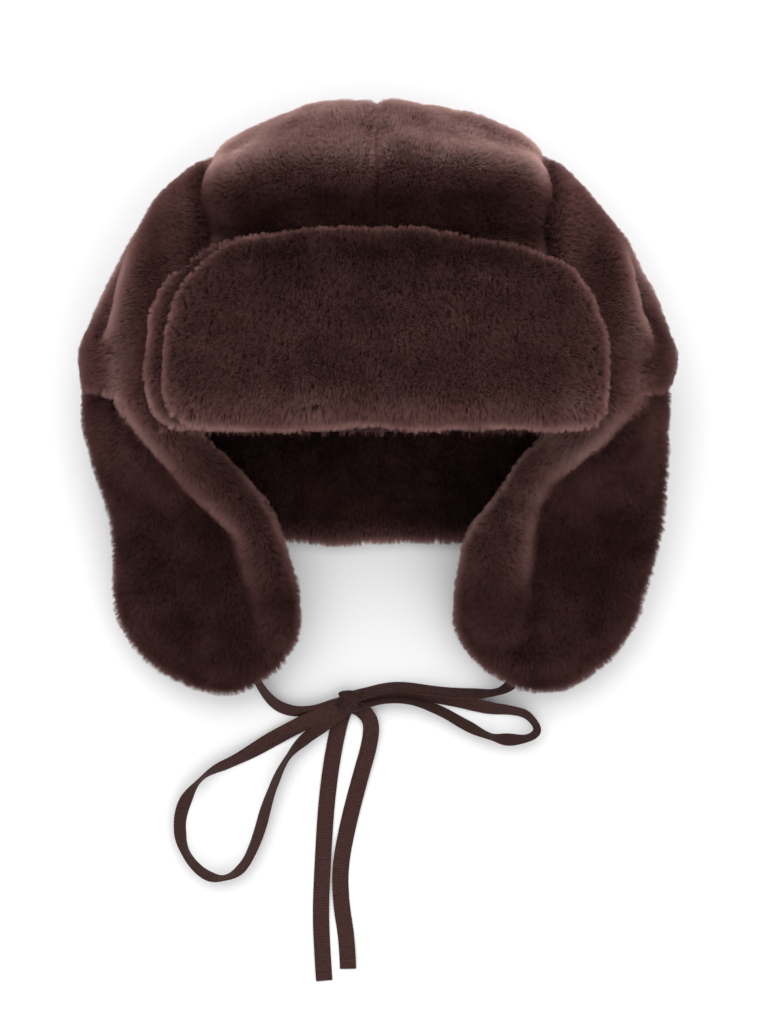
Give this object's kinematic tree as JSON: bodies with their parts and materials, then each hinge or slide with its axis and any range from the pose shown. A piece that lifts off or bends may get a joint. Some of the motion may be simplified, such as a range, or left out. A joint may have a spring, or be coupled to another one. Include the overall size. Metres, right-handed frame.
{
  "type": "trapper hat",
  "caption": "Dark brown short-pile fur trapper hat lying on its back, visor turned up, ear flaps tied with a ribbon bow.",
  "frame": {"origin": "middle of the hat's footprint on the surface it lies on, ribbons left out", "axes": "+Y towards the crown's top, +Z out of the face side, +X to the right as seen from the face side; +Z is the shortest way through the hat"},
  "size_m": [0.3262, 0.4966, 0.1285],
  "materials": {
    "fur": "matte",
    "lining": "satin",
    "sweatband": "matte",
    "wadding": "matte",
    "interlining": "matte",
    "ribbon": "matte"
  },
  "bodies": {
    "crown": {"crown_side_left": "fur", "crown_centre_left": "fur", "crown_centre_right": "fur", "crown_side_right": "fur", "front_band": "fur", "nape_band": "fur", "side_band_left": "fur", "side_band_right": "fur", "crown_wadding": "wadding", "lining_side_left": "lining", "lining_centre": "lining", "lining_side_right": "lining", "sweatband": "sweatband", "neck_flap_outer": "fur", "neck_flap_wadding": "wadding", "neck_flap_inner": "fur"},
    "visor": {"visor_back": "fur", "visor_interlining": "interlining", "visor_front": "fur"},
    "left_ear_flap": {"left_ear_flap_outer": "fur", "left_ear_flap_wadding": "wadding", "left_ear_flap_inner": "fur", "ribbon_left_lead": "ribbon", "ribbon_left_loop": "ribbon", "ribbon_left_tail": "ribbon", "ribbon_right_lead": "ribbon", "ribbon_right_loop": "ribbon", "ribbon_right_tail": "ribbon", "bow_knot": "ribbon"},
    "right_ear_flap": {"right_ear_flap_outer": "fur", "right_ear_flap_wadding": "wadding", "right_ear_flap_inner": "fur"}
  },
  "joints": [
    {"name": "visor_fold", "type": "hinge", "parent": "crown", "child": "visor", "pos_m": [0, -0.0205, 0.1065], "axis": [1, 0, 0], "range_deg": [0, 135]},
    {"name": "left_ear_flap_lift", "type": "hinge", "parent": "crown", "child": "left_ear_flap", "pos_m": [0, -0.03, 0.046], "axis": [-1, 0, 0], "range_deg": [0, 50]},
    {"name": "right_ear_flap_lift", "type": "hinge", "parent": "crown", "child": "right_ear_flap", "pos_m": [0, -0.03, 0.046], "axis": [-1, 0, 0], "range_deg": [0, 50]}
  ],
  "couplings": [
    {"joint": "right_ear_flap_lift", "follows": "left_ear_flap_lift", "ratio": 1}
  ]
}
